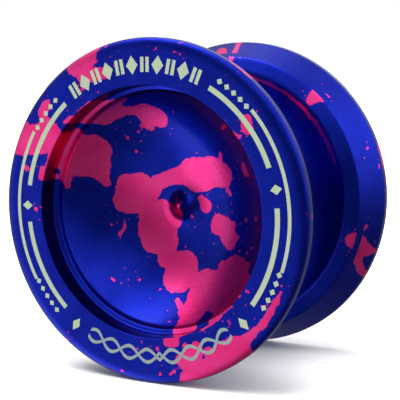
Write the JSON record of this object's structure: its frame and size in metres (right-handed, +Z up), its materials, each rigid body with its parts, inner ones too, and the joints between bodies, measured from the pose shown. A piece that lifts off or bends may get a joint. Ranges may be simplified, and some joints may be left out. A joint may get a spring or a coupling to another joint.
{
  "type": "yo-yo",
  "caption": "Metal yo-yo with two dished, blue half shells splashed with pink, joined by a threaded axle round a shielded ball bearing, with silicone pads in the cord gap.",
  "frame": {"origin": "middle of the body, on the axle's centre line and halfway between the two outer faces", "axes": "+Y along the axle from the front half to the back half, +Z up, +X to the right when the front half is seen from outside"},
  "size_m": [0.056, 0.0374, 0.056],
  "materials": {
    "anodised_shell": "satin blue anodised with pink splashes and a pale engraved ring",
    "axle_steel": "oiled steel thread",
    "bearing_steel": "ground",
    "ball_steel": "polished",
    "cage_steel": "pressed sheet",
    "shield_steel": "pressed sheet",
    "silicone_pad": "matt silicone"
  },
  "bodies": {
    "back_half_body": {"back_half": "anodised_shell", "axle": "axle_steel", "back_response_pad": "silicone_pad"},
    "inner_race_body": {"bearing_inner_race": "bearing_steel"},
    "front_half_body": {"front_half": "anodised_shell", "front_response_pad": "silicone_pad"},
    "outer_race_body": {"bearing_outer_race": "bearing_steel", "front_shield": "shield_steel", "back_shield": "shield_steel", "front_snap_ring": "shield_steel", "back_snap_ring": "shield_steel"},
    "cage_body": {"cage_front": "cage_steel", "cage_back": "cage_steel", "cage_rivets": "cage_steel"},
    "ball_1_body": {"ball_1": "ball_steel"},
    "ball_2_body": {"ball_2": "ball_steel"},
    "ball_3_body": {"ball_3": "ball_steel"},
    "ball_4_body": {"ball_4": "ball_steel"},
    "ball_5_body": {"ball_5": "ball_steel"},
    "ball_6_body": {"ball_6": "ball_steel"},
    "ball_7_body": {"ball_7": "ball_steel"},
    "ball_8_body": {"ball_8": "ball_steel"}
  },
  "joints": [
    {"name": "front_half_unscrew", "type": "hinge", "parent": "inner_race_body", "child": "front_half_body", "pos_m": [0, 0, 0], "axis": [0, -1, 0], "range_deg": [0, 2340]},
    {"name": "bearing_slide", "type": "slide", "parent": "back_half_body", "child": "inner_race_body", "axis": [0, -1, 0], "range_m": [0, 0.00456]},
    {"name": "bearing_spin", "type": "hinge", "parent": "inner_race_body", "child": "outer_race_body", "pos_m": [0, 0, 0], "axis": [0, 1, 0], "continuous": true},
    {"name": "cage_orbit", "type": "hinge", "parent": "inner_race_body", "child": "cage_body", "pos_m": [0, 0, 0], "axis": [0, 1, 0], "continuous": true},
    {"name": "ball_1_roll", "type": "hinge", "parent": "cage_body", "child": "ball_1_body", "pos_m": [0.00476, 0, 0], "axis": [0, 1, 0], "continuous": true},
    {"name": "ball_2_roll", "type": "hinge", "parent": "cage_body", "child": "ball_2_body", "pos_m": [0.00337, 0, 0.00337], "axis": [0, 1, 0], "continuous": true},
    {"name": "ball_3_roll", "type": "hinge", "parent": "cage_body", "child": "ball_3_body", "pos_m": [0, 0, 0.00476], "axis": [0, 1, 0], "continuous": true},
    {"name": "ball_4_roll", "type": "hinge", "parent": "cage_body", "child": "ball_4_body", "pos_m": [-0.00337, 0, 0.00337], "axis": [0, 1, 0], "continuous": true},
    {"name": "ball_5_roll", "type": "hinge", "parent": "cage_body", "child": "ball_5_body", "pos_m": [-0.00476, 0, 0], "axis": [0, 1, 0], "continuous": true},
    {"name": "ball_6_roll", "type": "hinge", "parent": "cage_body", "child": "ball_6_body", "pos_m": [-0.00337, 0, -0.00337], "axis": [0, 1, 0], "continuous": true},
    {"name": "ball_7_roll", "type": "hinge", "parent": "cage_body", "child": "ball_7_body", "pos_m": [0, 0, -0.00476], "axis": [0, 1, 0], "continuous": true},
    {"name": "ball_8_roll", "type": "hinge", "parent": "cage_body", "child": "ball_8_body", "pos_m": [0.00337, 0, -0.00337], "axis": [0, 1, 0], "continuous": true}
  ],
  "couplings": [
    {"joint": "bearing_slide", "follows": "front_half_unscrew", "m_per_rad": 0.00011141},
    {"joint": "cage_orbit", "follows": "bearing_spin", "ratio": 0.58333},
    {"joint": "ball_1_roll", "follows": "bearing_spin", "ratio": 2.9167},
    {"joint": "ball_2_roll", "follows": "bearing_spin", "ratio": 2.9167},
    {"joint": "ball_3_roll", "follows": "bearing_spin", "ratio": 2.9167},
    {"joint": "ball_4_roll", "follows": "bearing_spin", "ratio": 2.9167},
    {"joint": "ball_5_roll", "follows": "bearing_spin", "ratio": 2.9167},
    {"joint": "ball_6_roll", "follows": "bearing_spin", "ratio": 2.9167},
    {"joint": "ball_7_roll", "follows": "bearing_spin", "ratio": 2.9167},
    {"joint": "ball_8_roll", "follows": "bearing_spin", "ratio": 2.9167}
  ]
}
